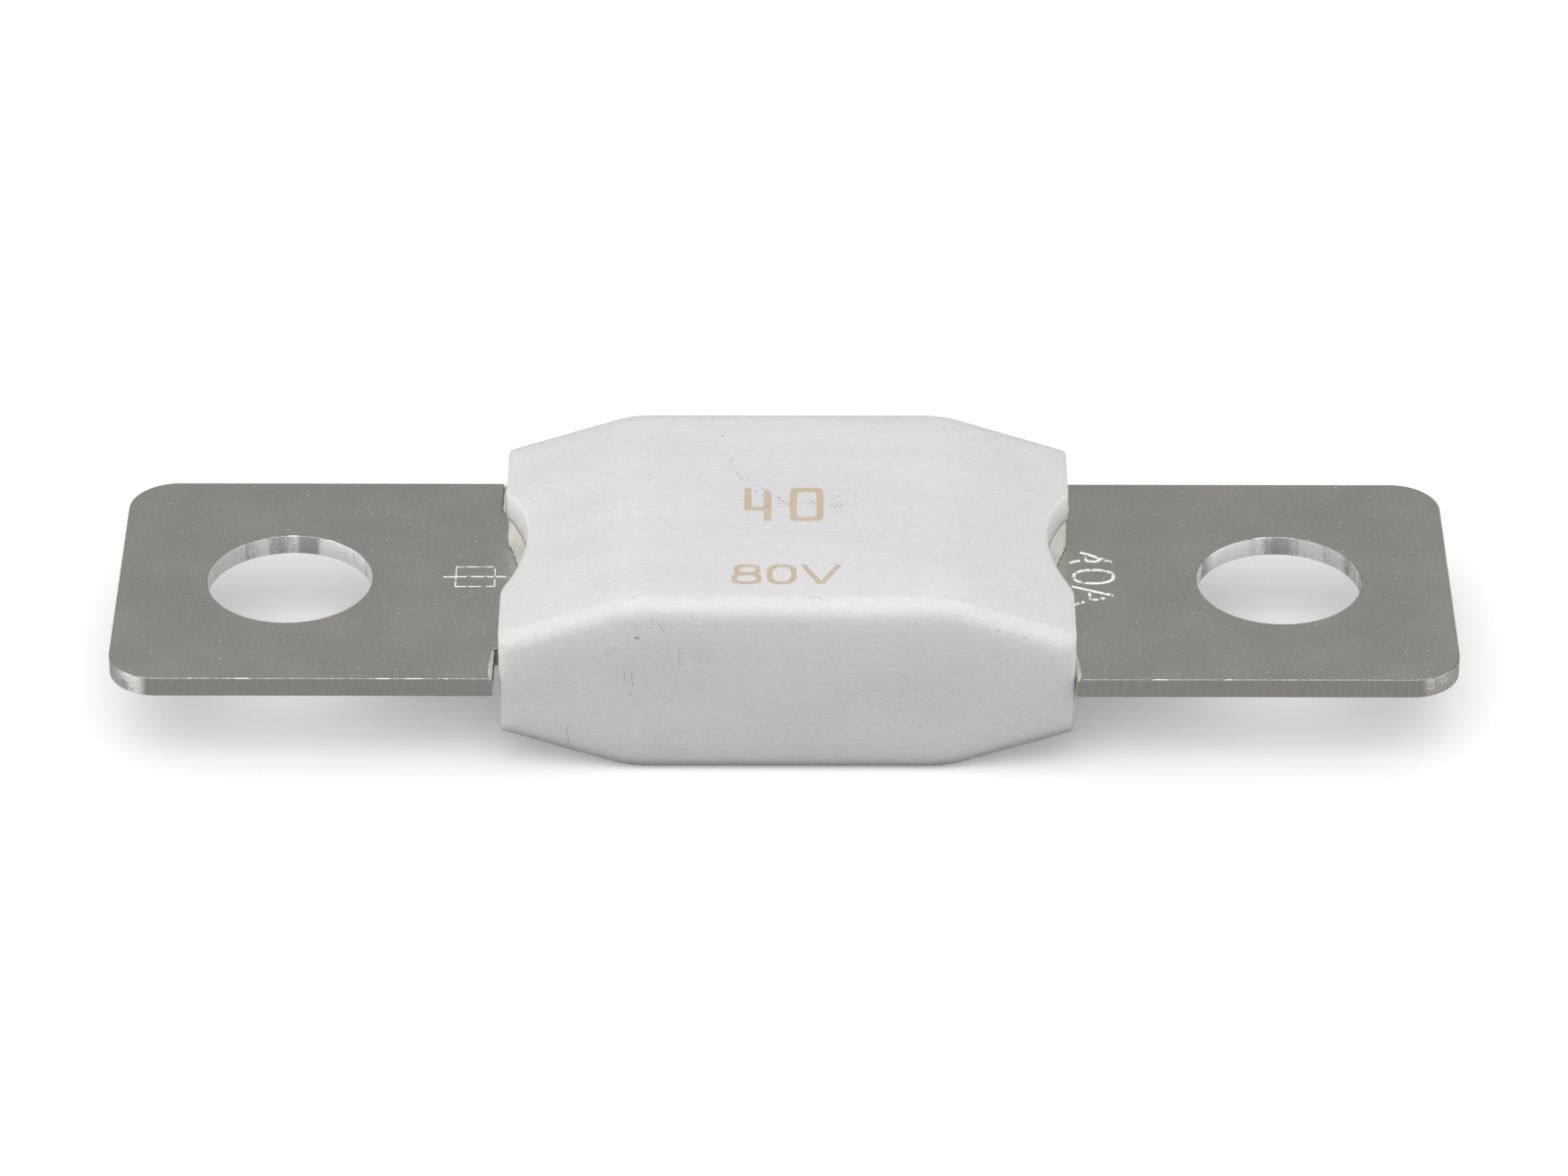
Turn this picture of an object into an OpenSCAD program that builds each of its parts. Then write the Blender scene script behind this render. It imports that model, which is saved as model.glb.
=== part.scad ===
// Bolt-down strip fuse: two plated terminals with bolt holes, joined by a
// fuse element inside a one-piece ceramic sleeve that cement closes at both ends.
// Millimetres. X runs along the strip, Y across it and Z up.
// The origin is midway between the bolt holes, halfway through the sheet.

/* [Terminals] */
// Distance between the centres of the two bolt holes
bolt_pitch = 51; // [44:0.5:60]
// Diameter of each bolt hole
bolt_hole_d = 8.5; // [5.5:0.1:10.5]
// Distance from the centre of a bolt hole to the tip of its blade
tip_margin = 8.8; // [6.5:0.1:14]
// Radius of the two corners at the tip of each blade
tip_corner_r = 2.5; // [0.5:0.1:5]
// Thickness of the terminal sheet
sheet_t = 1.05; // [0.6:0.05:1.6]
// Length of each neck, from the blade's shoulder to its end inside the sleeve
neck_l = 8; // [7:0.1:10]

/* [Sleeve] */
// Length of the sleeve
sleeve_l = 29.2; // [25:0.2:35]
// Width of the sleeve
sleeve_w = 19.4; // [17.5:0.1:26]
// Height of the sleeve over its flats
sleeve_h = 10; // [8.5:0.1:14]
// Length of the flat on the top and on the bottom
flat_l = 16.2; // [9:0.2:20]
// Height of the sleeve's ends, measured to the lines of the slopes
end_h = 5.7; // [5.4:0.1:8]
// Radius where a flat turns into a slope
crease_r = 6; // [2:0.5:9]
// Radius on the long edges of the front and back faces
edge_r = 0.85; // [0.5:0.05:1.3]
// Radius on the upright edges at the corners of the sleeve
upright_edge_r = 0.4; // [0.2:0.05:1]
// Radius where the slopes meet the ends
end_edge_r = 0.3; // [0.15:0.05:1]
// Radius of the shallow upright groove in each end
groove_r = 9.5; // [7:0.1:12]
// Depth of the shallow upright groove in each end
groove_depth = 1.25; // [0.6:0.05:1.6]
// Radius of the lips where the groove runs out into the flat of the end
lip_r = 1.6; // [0.6:0.1:2.5]
// Width of the slot that runs through the sleeve
slot_w = 14; // [12.5:0.1:15]
// Height of the slot that runs through the sleeve
slot_h = 2.6; // [2.5:0.1:3.8]

/* [Cement seals] */
// How far the cement reaches into the slot from the sleeve's end
seal_depth = 3; // [2.6:0.1:4.5]
// How far the cement stands out of the groove where it meets the sheet
seal_flare = 0.65; // [0.1:0.05:0.8]

/* [Fuse element] */
// Thickness of the element strip
element_t = 0.2; // [0.1:0.05:0.4]
// Width of the element strip
element_w = 9; // [7:0.1:11]
// Length of the lap that joins the element to each neck
lap_l = 3; // [1.5:0.1:4.5]
// Number of bridges that each weak row leaves standing
bridge_count = 3; // [2:1:5]
// Width of each bridge
bridge_w = 0.8; // [0.4:0.05:1.2]
// Distance between the two weak rows
row_pitch = 5.6; // [5.2:0.1:6.4]
// Width of the tin bead along the strip
bead_w = 2.2; // [1.2:0.1:2.6]
// Height of the tin bead
bead_h = 0.45; // [0.2:0.05:0.55]
// Length of the tin bead across the strip
bead_l = 7; // [4:0.1:7]

/* [Clearances] */
// How far the long edges of the blades lie inside the sleeve's front and back faces
blade_inset = 0.1; // [0:0.05:0.6]
// Play of the sleeve between the shoulders of the two blades
shoulder_play = 0.3; // [0:0.05:0.6]
// Gap between a neck and each side of the slot, filled with cement at the mouths
neck_gap = 0.3; // [0.1:0.05:0.6]

/* [Hidden] */
$fn = 96;
// Steps of the loft: creases, end corners, front and back edges, lips, half a groove
crease_steps = 4;
corner_steps = 6;
edge_steps = 6;
lip_steps = 3;
groove_steps = 7;
// Overshoot of a cut past the face that it opens
cut = 0.5;
// The sleeve is pushed against the right shoulder, so the left one shows the play
shoulder_x = (sleeve_l + shoulder_play) / 2;
sleeve_x = shoulder_play / 2;
tip_x = bolt_pitch / 2 + tip_margin;
blade_w = sleeve_w - 2 * blade_inset;
neck_w = slot_w - 2 * neck_gap;
slope_angle = atan((sleeve_h - end_h) / (sleeve_l - flat_l));
groove_centre_x = sleeve_l / 2 - groove_depth + groove_r;
// A lip's arc is tangent to the flat end at lip_y and to the groove at groove_y
lip_centre_x = sleeve_l / 2 - lip_r;
lip_y = sqrt(pow(groove_r + lip_r, 2) - pow(groove_centre_x - lip_centre_x, 2));
groove_y = lip_y * groove_r / (groove_r + lip_r);
element_l = 2 * (shoulder_x - neck_l + lap_l);
weak_hole_d = element_w / bridge_count - bridge_w;
bead_r = (pow(bead_w / 2, 2) + pow(bead_h, 2)) / (2 * bead_h);

// How far the body draws in at an angle b round its front or back edge
function edge_inset(b) = edge_r * (1 - cos(b));

// Where the body ends at y: flat end, rounded lip or groove
function end_x(y) =
    abs(y) >= lip_y ? sleeve_l / 2
    : abs(y) > groove_y ? lip_centre_x + sqrt(pow(lip_r, 2) - pow(abs(y) - lip_y, 2))
    : groove_centre_x - sqrt(pow(groove_r, 2) - pow(y, 2));

// Height of the slope line at x, for an outline drawn in by the given amount
function slope_z(x, inset) =
    sleeve_h / 2 - (inset + (x - flat_l / 2) * sin(slope_angle)) / cos(slope_angle);

// A quarter of the side outline, from the flat over the crease and the slope to the end
function quarter_outline(inset, far_x) =
    let (crease_x = flat_l / 2 - crease_r * tan(slope_angle / 2),
         crease_z = sleeve_h / 2 - crease_r,
         corner_x = far_x - inset * upright_edge_r / edge_r - end_edge_r,
         corner_z = slope_z(corner_x, inset + end_edge_r))
    concat(
        [for (i = [0:crease_steps])
            let (a = slope_angle * i / crease_steps)
            [crease_x + (crease_r - inset) * sin(a), crease_z + (crease_r - inset) * cos(a)]],
        [for (i = [0:corner_steps])
            let (a = slope_angle + (90 - slope_angle) * i / corner_steps)
            [corner_x + end_edge_r * sin(a), corner_z + end_edge_r * cos(a)]]
    );

// The whole side outline as one ring of points at y, going round from the right flat
function section(y, inset) =
    let (quarter = quarter_outline(inset, end_x(y)), last = len(quarter) - 1)
    [for (q = [0:3], i = [0:last])
        let (p = quarter[q % 2 == 0 ? i : last - i])
        [(q == 0 || q == 1 ? 1 : -1) * p[0], y, (q == 0 || q == 3 ? 1 : -1) * p[1]]];

// Sections from the front face to the back one, each as its y and its inset
function section_places() =
    let (side = sleeve_w / 2 - edge_r,
         edge = [for (i = [0:edge_steps])
            let (b = 90 * (1 - i / edge_steps))
            [side + edge_r * sin(b), edge_inset(b)]],
         lip = [for (i = [0:lip_steps])
            [lip_y - (lip_y - groove_y) * i / lip_steps, 0]],
         groove = [for (i = [1:groove_steps - 1])
            [groove_y * (1 - i / groove_steps), 0]],
         half = concat(edge, lip, groove))
    concat(
        [for (p = half) [-p[0], p[1]]],
        [[0, 0]],
        [for (i = [len(half) - 1:-1:0]) half[i]]
    );

// Turns what is drawn at the right end round to the left end
module to_side(side)
    rotate([0, 0, side < 0 ? 180 : 0]) children();

// Skin over a row of rings that all have the same number of points
module loft(rings) {
    n = len(rings[0]);
    last = len(rings) - 1;
    polyhedron(
        points = [for (ring = rings, p = ring) p],
        faces = concat(
            [[for (i = [n - 1:-1:0]) i]],
            [for (j = [0:last - 1], i = [0:n - 1], half = [0, 1])
                let (k = (i + 1) % n)
                half == 0
                    ? [j * n + i, j * n + k, (j + 1) * n + k]
                    : [j * n + i, (j + 1) * n + k, (j + 1) * n + i]],
            [[for (i = [0:n - 1]) last * n + i]]
        )
    );
}

// Rounded barrel with a groove in each end and a flat slot right through it
module ceramic_sleeve()
    color([0.87, 0.87, 0.88])
        translate([sleeve_x, 0, 0])
            difference() {
                loft([for (p = section_places()) section(p[0], p[1])]);
                cube([sleeve_l + 2 * cut, slot_w, slot_h], center = true);
            }

// Blade with round tip corners, and the narrower neck behind its shoulders
module terminal_outline() {
    blade_l = tip_x - shoulder_x;
    translate([shoulder_x, -blade_w / 2])
        square([blade_l - tip_corner_r, blade_w]);
    translate([shoulder_x, tip_corner_r - blade_w / 2])
        square([blade_l, blade_w - 2 * tip_corner_r]);
    for (s = [-1, 1])
        translate([tip_x - tip_corner_r, s * (blade_w / 2 - tip_corner_r)])
            circle(tip_corner_r);
    translate([shoulder_x - neck_l, -neck_w / 2])
        square([neck_l + cut, neck_w]);
}

// Stamped terminal, with its bolt hole
module terminal(side)
    color([0.55, 0.54, 0.52])
        to_side(side)
            difference() {
                linear_extrude(sheet_t, center = true) terminal_outline();
                translate([bolt_pitch / 2, 0, 0])
                    cylinder(d = bolt_hole_d, h = sheet_t + 2 * cut, center = true);
            }

// Thin strip lapped onto both necks, with two rows of punched holes
module fuse_element()
    color([0.72, 0.43, 0.30])
        translate([0, 0, sheet_t / 2])
            linear_extrude(element_t)
                difference() {
                    square([element_l, element_w], center = true);
                    for (row = [-1, 1], i = [0:bridge_count])
                        translate([row * row_pitch / 2, element_w * (i / bridge_count - 0.5)])
                            circle(d = weak_hole_d, $fn = 32);
                }

// Low round bead of tin across the middle of the element
module tin_bead()
    color([0.74, 0.75, 0.76])
        translate([0, 0, sheet_t / 2 + element_t])
            rotate([90, 0, 0])
                linear_extrude(bead_l, center = true)
                    intersection() {
                        translate([0, bead_h - bead_r]) circle(bead_r);
                        translate([-bead_w / 2, 0]) square([bead_w, bead_h]);
                    }

// Cement that fills a mouth of the slot around the neck, and follows the groove
module seal(side)
    color([0.80, 0.80, 0.74])
        translate([sleeve_x, 0, 0])
            to_side(side)
                difference() {
                    translate([sleeve_l / 2 - seal_depth, -slot_w / 2, -slot_h / 2])
                        cube([seal_depth, slot_w, slot_h]);
                    translate([sleeve_l / 2 - seal_depth - cut, -neck_w / 2, -sheet_t / 2])
                        cube([seal_depth + 2 * cut, neck_w, sheet_t]);
                    for (face = [0, 180])
                        rotate([face, 0, 0])
                            translate([groove_centre_x, 0, sheet_t / 2])
                                cylinder(r1 = groove_r - seal_flare, r2 = groove_r,
                                    h = (slot_h - sheet_t) / 2);
                }

ceramic_sleeve();
terminal(-1);  // left_terminal
terminal(1);  // right_terminal
fuse_element();
tin_bead();
seal(-1);  // left_seal
seal(1);  // right_seal
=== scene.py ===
# Looks of a bolt-down strip fuse: a white ceramic sleeve on two tin-plated blades.
# Metres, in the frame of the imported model: X along the strip, Y across it and Z up.
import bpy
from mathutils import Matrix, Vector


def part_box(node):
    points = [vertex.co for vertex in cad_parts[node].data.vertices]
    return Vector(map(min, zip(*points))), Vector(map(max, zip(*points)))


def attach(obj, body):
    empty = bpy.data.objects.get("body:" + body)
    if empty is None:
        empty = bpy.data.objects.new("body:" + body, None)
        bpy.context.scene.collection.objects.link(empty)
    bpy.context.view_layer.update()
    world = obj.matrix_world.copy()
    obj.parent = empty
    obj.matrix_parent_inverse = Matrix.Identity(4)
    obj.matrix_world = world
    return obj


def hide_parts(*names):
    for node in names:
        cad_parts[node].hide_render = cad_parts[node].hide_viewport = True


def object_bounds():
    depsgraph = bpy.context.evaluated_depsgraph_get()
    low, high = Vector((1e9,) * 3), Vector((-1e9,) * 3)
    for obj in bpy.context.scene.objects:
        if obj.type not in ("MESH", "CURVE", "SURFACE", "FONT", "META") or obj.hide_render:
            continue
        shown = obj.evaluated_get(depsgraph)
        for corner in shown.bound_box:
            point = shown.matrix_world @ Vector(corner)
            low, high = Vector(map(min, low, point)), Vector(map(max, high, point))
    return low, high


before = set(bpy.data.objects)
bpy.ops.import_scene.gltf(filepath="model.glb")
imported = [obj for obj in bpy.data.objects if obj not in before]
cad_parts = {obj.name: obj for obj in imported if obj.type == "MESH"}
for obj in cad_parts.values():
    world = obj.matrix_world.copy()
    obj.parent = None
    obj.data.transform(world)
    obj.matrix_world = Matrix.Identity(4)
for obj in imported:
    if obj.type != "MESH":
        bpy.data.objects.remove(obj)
cad_box = [list(corner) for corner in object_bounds()]

import math

import bpy
import bmesh
from mathutils import Matrix, Vector, noise

MM = 0.001
TINY = 1e-6

# Boxes of the solids that the pieces below stand for
SLEEVE_LOW, SLEEVE_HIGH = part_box("ceramic_sleeve")
BLADE_LOW, BLADE_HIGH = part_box("right_terminal")
SEAL_LOW, SEAL_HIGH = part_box("right_seal")

# Sleeve, drawn about its own middle and then moved to SLEEVE_X
SLEEVE_X = (SLEEVE_LOW.x + SLEEVE_HIGH.x) / 2
SLEEVE_L = SLEEVE_HIGH.x - SLEEVE_LOW.x
SLEEVE_W = SLEEVE_HIGH.y - SLEEVE_LOW.y
SLEEVE_H = SLEEVE_HIGH.z - SLEEVE_LOW.z
FLAT_L = 16.2 * MM
END_H = 5.7 * MM
CREASE_R = 6 * MM
EDGE_R = 0.85 * MM
UPRIGHT_EDGE_R = 0.4 * MM
END_EDGE_R = 0.3 * MM
GROOVE_R = 9.5 * MM
GROOVE_DEPTH = 1.25 * MM
LIP_R = 1.6 * MM
SLOPE = math.atan2(SLEEVE_H - END_H, SLEEVE_L - FLAT_L)
TOP_Z = SLEEVE_HIGH.z
FRONT_Y = SLEEVE_LOW.y

# Slot through the sleeve, and the cement that closes its mouths
SLOT_W = SEAL_HIGH.y - SEAL_LOW.y
SLOT_H = SEAL_HIGH.z - SEAL_LOW.z
SEAL_DEPTH = SEAL_HIGH.x - SEAL_LOW.x
SEAL_FLARE = 0.65 * MM
SEAL_RECESS = 0.1 * MM
SEAL_BITE = 0.08 * MM

# Blades
SHEET_T = BLADE_HIGH.z - BLADE_LOW.z
BLADE_TOP = BLADE_HIGH.z
BLADE_W = BLADE_HIGH.y - BLADE_LOW.y
TIP_X = BLADE_HIGH.x
SHOULDER_X = SLEEVE_HIGH.x
NECK_END_X = BLADE_LOW.x
NECK_GAP = 0.3 * MM
NECK_W = SLOT_W - 2 * NECK_GAP
TIP_R = 2.5 * MM
HOLE_X = 25.5 * MM
HOLE_R = 4.25 * MM
HOLE_MARGIN = 0.3 * MM

# Groove in plan: its axis, and where the round lip meets the flat end and the groove
GROOVE_AXIS = SLEEVE_L / 2 - GROOVE_DEPTH + GROOVE_R
LIP_X = SLEEVE_L / 2 - LIP_R
LIP_Y = math.sqrt((GROOVE_R + LIP_R) ** 2 - (GROOVE_AXIS - LIP_X) ** 2)
GROOVE_Y = LIP_Y * GROOVE_R / (GROOVE_R + LIP_R)

# Camera, as fitted to the photograph of 1600 by 1200 pixels
PHOTO_W, PHOTO_H = 1600, 1200
CAMERA_DISTANCE = 398.7 * MM
CAMERA_PITCH = math.radians(31.69)
CAMERA_ROLL = math.radians(0.09)
CAMERA_TARGET = Vector((-0.02 * MM, 0, 0.01 * MM))
LENS = 177.4
SENSOR = 36

# Sky brightness from the horizon (0) to the top (1)
SKY = ((0.0, 0.33), (0.45, 0.335), (1.0, 1.0))

# Floor: its size, how it looks, and how much it throws back and shows in reflections
FLOOR_SIZE = 4
FLOOR_SEEN, FLOOR_LIFT, FLOOR_BOUNCE, FLOOR_GLOSS = 0.95, 0.21, 0.14, 0.5

# Softboxes: direction from the part, size in metres and power. The fills stand on both sides.
SOFTBOX_DISTANCE = 1.0
KEY_DIRECTION, KEY_SIZE, KEY_POWER = (-0.10, -0.71, 0.70), (1.1, 1.1), 5.63
FILL_DIRECTION, FILL_SIZE = (1, -0.25, 0.12), (0.6, 0.4)
RIGHT_FILL_POWER, LEFT_FILL_POWER = 2.4, 2.8


# Helpers for modelling
def deselect_all():
    if bpy.context.mode != "OBJECT":
        bpy.ops.object.mode_set(mode="OBJECT")
    bpy.ops.object.select_all(action="DESELECT")


def pick(piece):
    deselect_all()
    piece.select_set(True)
    bpy.context.view_layer.objects.active = piece


def named(name):
    piece = bpy.context.object
    piece.name = name
    piece.data.name = name
    return piece


def settle(piece):
    """Puts the piece's place, turn and scale into its mesh."""
    pick(piece)
    bpy.ops.object.transform_apply(location=True, rotation=True, scale=True)
    return piece


def join(pieces, name):
    deselect_all()
    for piece in pieces:
        piece.select_set(True)
    bpy.context.view_layer.objects.active = pieces[0]
    bpy.ops.object.join()
    return named(name)


def edit(piece):
    pick(piece)
    bpy.ops.object.mode_set(mode="EDIT")
    bpy.ops.mesh.select_mode(type="FACE")
    bpy.ops.mesh.select_all(action="DESELECT")


def select_where(piece, kind, test):
    """In edit mode, selects the faces or edges for which test is true."""
    shape = bmesh.from_edit_mesh(piece.data)
    bpy.ops.mesh.select_mode(type=kind)
    bpy.ops.mesh.select_all(action="DESELECT")
    for part in (shape.faces if kind == "FACE" else shape.edges):
        if test(part):
            part.select_set(True)
    bmesh.update_edit_mesh(piece.data)


def face_outwards(piece):
    pick(piece)
    bpy.ops.object.mode_set(mode="EDIT")
    bpy.ops.mesh.select_all(action="SELECT")
    bpy.ops.mesh.normals_make_consistent(inside=False)
    bpy.ops.object.mode_set(mode="OBJECT")


def add_box(name, low, high):
    deselect_all()
    low, high = Vector(low), Vector(high)
    bpy.ops.mesh.primitive_cube_add(size=1, location=(low + high) / 2)
    piece = named(name)
    piece.scale = high - low
    return settle(piece)


def apply_modifier(piece, kind, **values):
    pick(piece)
    modifier = piece.modifiers.new(kind.lower(), kind)
    for key, value in values.items():
        setattr(modifier, key, value)
    bpy.ops.object.modifier_apply(modifier=modifier.name)


def cut_with(piece, tool, operation="DIFFERENCE"):
    apply_modifier(piece, "BOOLEAN", operation=operation, object=tool, solver="EXACT")
    bpy.data.objects.remove(tool)


def smooth(piece, angle):
    """Smooth shading that keeps edges sharper than the angle, with flat faces left flat."""
    pick(piece)
    bpy.ops.object.shade_smooth_by_angle(angle=math.radians(angle))
    apply_modifier(piece, "WEIGHTED_NORMAL", keep_sharp=True, weight=50)


def give(piece, material, replaced=None):
    """Last step of a piece: its material, the body it rides on and the node it stands for."""
    piece.data.materials.clear()
    piece.data.materials.append(material)
    if replaced:
        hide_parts(replaced)
    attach(piece, "root")


# Camera, sky, light and floor
def camera_axes():
    forward = Vector((0, math.cos(CAMERA_PITCH), -math.sin(CAMERA_PITCH)))
    right = Vector((1, 0, 0))
    up = right.cross(forward)
    tilt = Matrix.Rotation(-CAMERA_ROLL, 3, forward)
    return tilt @ right, tilt @ up, forward


def photo_point(px, py, axis, level):
    """The point that photo pixel (px, py) shows on the plane where the axis has that level."""
    right, up, forward = camera_axes()
    eye = CAMERA_TARGET - CAMERA_DISTANCE * forward
    pixel = SENSOR / LENS / PHOTO_W
    ray = forward + (px - PHOTO_W / 2) * pixel * right + (PHOTO_H / 2 - py) * pixel * up
    return eye + (level - eye[axis]) / ray[axis] * ray


def make_camera():
    right, up, forward = camera_axes()
    data = bpy.data.cameras.new("camera")
    data.lens = LENS
    data.sensor_width = SENSOR
    data.clip_start = 0.01
    data.clip_end = 20
    camera = bpy.data.objects.new("camera", data)
    bpy.context.scene.collection.objects.link(camera)
    place = Matrix.Translation(CAMERA_TARGET - CAMERA_DISTANCE * forward)
    camera.matrix_world = place @ Matrix((right, up, -forward)).transposed().to_4x4()
    bpy.context.scene.camera = camera


def add_softbox(name, direction, size, power):
    data = bpy.data.lights.new(name, "AREA")
    data.shape = "RECTANGLE"
    data.size, data.size_y = size
    data.energy = power
    lamp = bpy.data.objects.new(name, data)
    bpy.context.scene.collection.objects.link(lamp)
    lamp.location = Vector(direction).normalized() * SOFTBOX_DISTANCE
    lamp.rotation_euler = (-lamp.location).to_track_quat("-Z", "Y").to_euler()


def make_sky():
    """A grey studio sky, dim at the horizon and brighter overhead."""
    world = bpy.data.worlds.new("studio")
    bpy.context.scene.world = world
    world.use_nodes = True
    nodes, links = world.node_tree.nodes, world.node_tree.links
    place = nodes.new("ShaderNodeTexCoord")
    axes = nodes.new("ShaderNodeSeparateXYZ")
    ramp = nodes.new("ShaderNodeValToRGB")
    links.new(place.outputs["Generated"], axes.inputs[0])
    links.new(axes.outputs["Z"], ramp.inputs["Fac"])
    ramp.color_ramp.elements.new(SKY[1][0])
    for stop, (at, grey) in zip(ramp.color_ramp.elements, SKY):
        stop.position = at
        stop.color = (grey, grey, grey, 1)
    links.new(ramp.outputs["Color"], nodes["Background"].inputs["Color"])


def make_floor():
    """A pale floor. It is near white to the eye, half as bright in reflections, and throws
    little light back up."""
    deselect_all()
    bpy.ops.mesh.primitive_plane_add(size=FLOOR_SIZE, location=(0, 0, cad_box[0][2]))
    floor = settle(named("floor"))
    material = bpy.data.materials.new("pale_floor")
    material.use_nodes = True
    tree = material.node_tree
    seen = tree.nodes["Principled BSDF"]
    seen.inputs["Base Color"].default_value = (FLOOR_SEEN, FLOOR_SEEN, FLOOR_SEEN, 1)
    seen.inputs["Roughness"].default_value = 0.95
    seen.inputs["Specular IOR Level"].default_value = 0
    seen.inputs["Emission Color"].default_value = (1, 1, 1, 1)
    seen.inputs["Emission Strength"].default_value = FLOOR_LIFT
    bounce = add_node(
        tree, "ShaderNodeBsdfDiffuse", Color=(FLOOR_BOUNCE, FLOOR_BOUNCE, FLOOR_BOUNCE, 1))
    path = tree.nodes.new("ShaderNodeLightPath")
    share = add_node(
        tree, "ShaderNodeMath", i0=path.outputs["Is Glossy Ray"], i1=FLOOR_GLOSS,
        i2=path.outputs["Is Camera Ray"])
    share.operation = "MULTIPLY_ADD"
    mix = add_node(
        tree, "ShaderNodeMixShader", Fac=share.outputs[0], i1=bounce.outputs[0],
        i2=seen.outputs[0])
    tree.links.new(mix.outputs[0], tree.nodes["Material Output"].inputs["Surface"])
    floor.data.materials.append(material)


def make_stage():
    make_floor()
    make_sky()
    add_softbox("key", KEY_DIRECTION, KEY_SIZE, KEY_POWER)
    x, y, z = FILL_DIRECTION
    add_softbox("right_fill", (x, y, z), FILL_SIZE, RIGHT_FILL_POWER)
    add_softbox("left_fill", (-x, y, z), FILL_SIZE, LEFT_FILL_POWER)
    bpy.context.scene.view_settings.view_transform = "Standard"


# Node helpers
def plug(tree, value, socket):
    """Sets the socket to the value, or links it from the value when that is a socket too."""
    if isinstance(value, bpy.types.NodeSocket):
        tree.links.new(value, socket)
    else:
        socket.default_value = value


def add_node(tree, kind, **inputs):
    """Adds a node. Inputs go by their names with underscores for spaces, or by i0, i1, i2."""
    node = tree.nodes.new(kind)
    for key, value in inputs.items():
        by_number = key[0] == "i" and key[1:].isdigit()
        plug(tree, value, node.inputs[int(key[1:]) if by_number else key.replace("_", " ")])
    return node


def math_node(tree, operation, a, b=0.0):
    node = add_node(tree, "ShaderNodeMath", i0=a, i1=b)
    node.operation = operation
    return node.outputs[0]


def scaled(tree, value, factor):
    return math_node(tree, "MULTIPLY", value, factor)


def added(tree, first, *others):
    for other in others:
        first = math_node(tree, "ADD", first, other)
    return first


def ramp_between(tree, value, low, high, to_low=0.0, to_high=1.0):
    """Maps low..high to to_low..to_high, clamped and eased."""
    node = add_node(tree, "ShaderNodeMapRange", i0=value)
    node.interpolation_type = "SMOOTHSTEP"
    for index, edge in enumerate((low, high, to_low, to_high), 1):
        plug(tree, edge, node.inputs[index])
    return node.outputs[0]


def mix_colours(tree, share, a, b):
    """Mixes the share of colour b into colour a."""
    node = tree.nodes.new("ShaderNodeMix")
    node.data_type = "RGBA"
    plug(tree, share, node.inputs[0])
    for colour, socket in ((a, node.inputs[6]), (b, node.inputs[7])):
        plug(tree, (*colour, 1) if isinstance(colour, tuple) else colour, socket)
    return node.outputs[2]


def tint(tree, value, low, high, colours):
    """Goes from the first colour to the second one as the value goes from low to high."""
    return mix_colours(tree, ramp_between(tree, value, low, high), *colours)


def new_group(name, inputs, outputs):
    """A node group; each input is a name, a kind of socket and a value."""
    group = bpy.data.node_groups.new(name, "ShaderNodeTree")
    for label, kind, value in inputs:
        socket = group.interface.new_socket(label, in_out="INPUT", socket_type=kind)
        if value is not None:
            socket.default_value = value
    for label in outputs:
        group.interface.new_socket(label, in_out="OUTPUT", socket_type="NodeSocketFloat")
    start = group.nodes.new("NodeGroupInput")
    end = group.nodes.new("NodeGroupOutput")
    return group, start.outputs, end.inputs


def use_group(tree, group, **inputs):
    """Places the group with its own values; spaces are underscores. Returns its outputs."""
    node = tree.nodes.new("ShaderNodeGroup")
    node.node_tree = group
    for key, value in inputs.items():
        plug(tree, value, node.inputs[key.replace("_", " ")])
    return node.outputs


def make_grain_group():
    """Even grain with slow patches in it. Size is the grain's width in metres."""
    group, inputs, outputs = new_group(
        "grain",
        (("Vector", "NodeSocketVector", None), ("Size", "NodeSocketFloat", 0.2 * MM),
         ("Patch Size", "NodeSocketFloat", 3 * MM)),
        ("Grain", "Patches"))
    for label, size, detail in (("Grain", "Size", 3.0), ("Patches", "Patch Size", 4.0)):
        scale = math_node(group, "DIVIDE", 1.0, inputs[size])
        texture = add_node(
            group, "ShaderNodeTexNoise", Vector=inputs["Vector"], Scale=scale, Detail=detail)
        group.links.new(texture.outputs[0], outputs[label])
    return group


def make_specks_group():
    """Sparse round specks, laid out flat over the lying faces and on down the front ones.
    Spacing is the cell size in metres, Radius a speck's greatest size as a share of its cell,
    and Share the share of the cells that hold one."""
    group, inputs, outputs = new_group(
        "specks",
        (("Vector", "NodeSocketVector", None), ("Spacing", "NodeSocketFloat", 1 * MM),
         ("Radius", "NodeSocketFloat", 0.1), ("Share", "NodeSocketFloat", 0.5)),
        ("Mask",))
    scale = math_node(group, "DIVIDE", 1.0, inputs["Spacing"])
    place = add_node(group, "ShaderNodeSeparateXYZ", i0=inputs["Vector"])
    down = added(group, place.outputs["Y"], place.outputs["Z"])
    sheet = add_node(group, "ShaderNodeCombineXYZ", X=place.outputs["X"], Y=down).outputs[0]
    cells = add_node(group, "ShaderNodeTexVoronoi", Vector=sheet, Scale=scale)
    cells.voronoi_dimensions = "2D"
    lots = add_node(group, "ShaderNodeSeparateColor", Color=cells.outputs["Color"])
    held = math_node(group, "LESS_THAN", lots.outputs[0], inputs["Share"])
    spread = added(group, scaled(group, lots.outputs[1], 0.7), 0.3)
    radius = scaled(group, inputs["Radius"], spread)
    core = scaled(group, radius, 0.5)
    spot = ramp_between(group, cells.outputs["Distance"], core, radius, 1.0, 0.0)
    group.links.new(scaled(group, spot, held), outputs["Mask"])
    return group


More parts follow.
